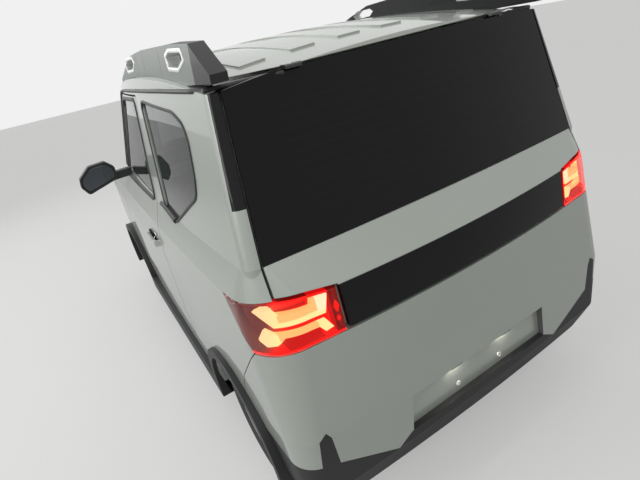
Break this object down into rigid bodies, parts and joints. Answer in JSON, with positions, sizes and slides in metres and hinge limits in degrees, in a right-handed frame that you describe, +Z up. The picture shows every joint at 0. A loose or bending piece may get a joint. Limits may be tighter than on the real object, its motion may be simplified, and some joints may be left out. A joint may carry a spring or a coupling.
{
  "type": "electric microcar",
  "caption": "Short boxy electric microcar with opening doors, hood and tailgate, steered front wheels, tall roof rails and wrap-round tail lamps.",
  "frame": {"origin": "on the ground, below the middle of the car's bounding box", "axes": "+X towards the nose, +Y towards the car's left side, +Z up"},
  "size_m": [3.0587, 1.8802, 1.6479],
  "materials": {
    "body_paint": "gloss",
    "rail_paint": "satin",
    "gloss_black": "gloss",
    "trim_black": "matte",
    "window_glass": "gloss",
    "tailgate_glass": "gloss",
    "lamp_red": "gloss",
    "lamp_clear": "gloss",
    "underbody": "satin",
    "chassis_steel": "satin",
    "battery_case": "satin",
    "seat_fabric": "woven",
    "cabin_plastic": "matte",
    "rim_paint": "satin",
    "tyre": "matte",
    "lamp_guide": "gloss"
  },
  "bodies": {
    "root": {"floor_pan": "underbody", "body_side_left": "body_paint", "body_side_right": "body_paint", "roof_panel": "body_paint", "cowl_panel": "trim_black", "front_structure": "underbody", "front_fenders": "body_paint", "front_bumper": "body_paint", "rear_bumper": "body_paint", "lower_valances": "trim_black", "front_panel": "gloss_black", "headlamps": "lamp_clear", "tail_lamps": "lamp_red", "windscreen": "window_glass", "quarter_glass": "window_glass", "roof_rails": "rail_paint", "front_seats": "seat_fabric", "rear_seat": "seat_fabric", "dashboard": "cabin_plastic", "steering_wheel": "cabin_plastic", "battery_pack": "battery_case", "front_suspension": "chassis_steel", "rear_axle": "chassis_steel", "side_cladding": "trim_black", "wheel_housings": "trim_black", "pillar_garnishes": "gloss_black", "lamp_cases": "trim_black", "lamp_guides": "lamp_guide"},
    "hood": {"hood": "body_paint"},
    "door_left": {"door_panel_left": "body_paint", "door_glass_left": "window_glass", "mirror_left": "trim_black"},
    "door_right": {"door_panel_right": "body_paint", "door_glass_right": "window_glass", "mirror_right": "trim_black"},
    "tailgate": {"tailgate_panel": "body_paint", "tailgate_glass": "tailgate_glass", "tailgate_strip": "gloss_black"},
    "knuckle_left": {"knuckle_left": "chassis_steel"},
    "knuckle_right": {"knuckle_right": "chassis_steel"},
    "wheel_front_left": {"rim_front_left": "rim_paint", "tyre_front_left": "tyre"},
    "wheel_front_right": {"rim_front_right": "rim_paint", "tyre_front_right": "tyre"},
    "wheel_rear_left": {"rim_rear_left": "rim_paint", "tyre_rear_left": "tyre"},
    "wheel_rear_right": {"rim_rear_right": "rim_paint", "tyre_rear_right": "tyre"}
  },
  "joints": [
    {"name": "hood_hinge", "type": "hinge", "parent": "root", "child": "hood", "pos_m": [0.93, 0, 1.046], "axis": [0, -1, 0], "range_deg": [0, 55]},
    {"name": "door_left_hinge", "type": "hinge", "parent": "root", "child": "door_left", "pos_m": [0.547, 0.724, 0.6], "axis": [0, 0, -1], "range_deg": [0, 65]},
    {"name": "door_right_hinge", "type": "hinge", "parent": "root", "child": "door_right", "pos_m": [0.547, -0.724, 0.6], "axis": [0, 0, 1], "range_deg": [0, 65]},
    {"name": "tailgate_hinge", "type": "hinge", "parent": "root", "child": "tailgate", "pos_m": [-1.31, 0, 1.524], "axis": [0, 1, 0], "range_deg": [0, 80]},
    {"name": "steer_left", "type": "hinge", "parent": "root", "child": "knuckle_left", "pos_m": [1.01, 0.622, 0.165], "axis": [0, -0.1611, 0.9869], "range_deg": [-33, 33]},
    {"name": "steer_right", "type": "hinge", "parent": "root", "child": "knuckle_right", "pos_m": [1.01, -0.622, 0.165], "axis": [0, 0.1611, 0.9869], "range_deg": [-33, 33]},
    {"name": "spin_front_left", "type": "hinge", "parent": "knuckle_left", "child": "wheel_front_left", "pos_m": [1.01, 0.65, 0.2539], "axis": [0, 1, 0], "continuous": true},
    {"name": "spin_front_right", "type": "hinge", "parent": "knuckle_right", "child": "wheel_front_right", "pos_m": [1.01, -0.65, 0.2539], "axis": [0, 1, 0], "continuous": true},
    {"name": "spin_rear_left", "type": "hinge", "parent": "root", "child": "wheel_rear_left", "pos_m": [-1, 0.65, 0.2539], "axis": [0, 1, 0], "continuous": true},
    {"name": "spin_rear_right", "type": "hinge", "parent": "root", "child": "wheel_rear_right", "pos_m": [-1, -0.65, 0.2539], "axis": [0, 1, 0], "continuous": true}
  ],
  "couplings": [
    {"joint": "steer_right", "follows": "steer_left", "ratio": 1}
  ]
}
